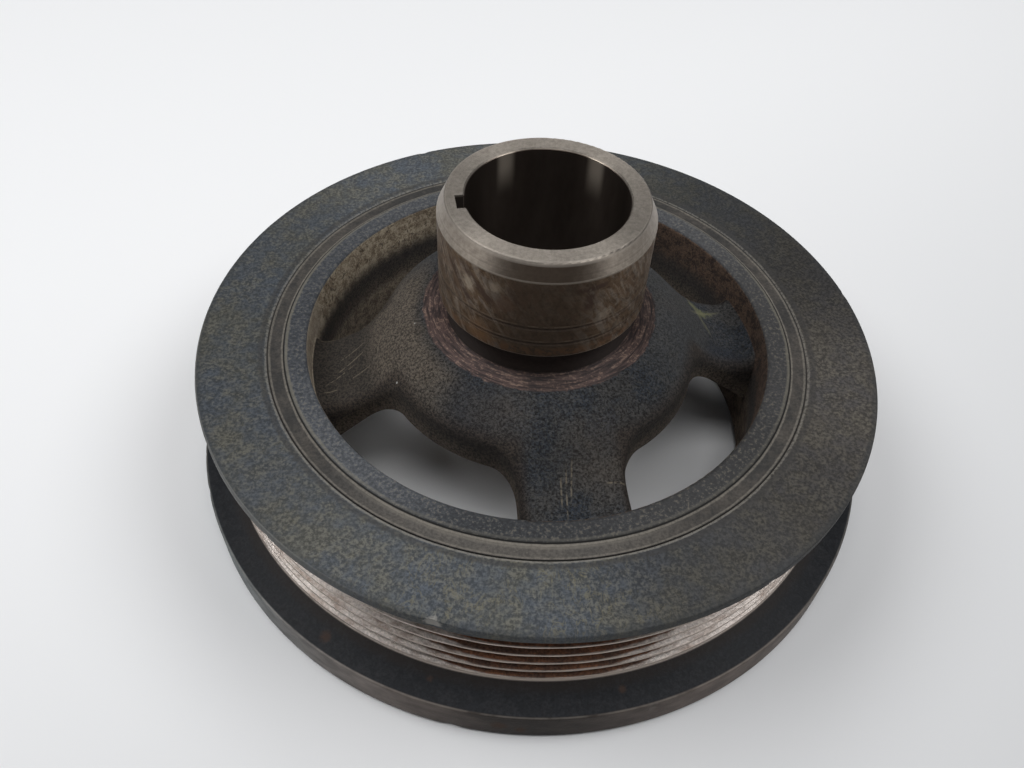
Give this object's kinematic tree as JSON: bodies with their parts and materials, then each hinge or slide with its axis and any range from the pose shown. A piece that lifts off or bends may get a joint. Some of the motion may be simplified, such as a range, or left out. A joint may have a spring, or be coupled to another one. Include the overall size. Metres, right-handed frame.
{
  "type": "crankshaft pulley damper",
  "caption": "Crankshaft belt pulley: keyed bore, tall seal sleeve, spoked cast hub, bonded rubber ring and an outer ring with fine V grooves between two flanges.",
  "frame": {"origin": "centre of the belt ring's lower face, on the bore's axis", "axes": "+Z along the bore's axis, towards the seal sleeve's open end"},
  "size_m": [0.1676, 0.1676, 0.0764],
  "materials": {
    "hub": "dark cast skin, brown with light rust; sleeve, neck and seat turned and stained",
    "rubber": "matt and dusty",
    "ring": "dark worn coating; grooves rust-brown with bare polished crests"
  },
  "bodies": {
    "root": {"hub_casting": "hub", "rubber_ring": "rubber", "belt_ring": "ring"}
  },
  "joints": []
}
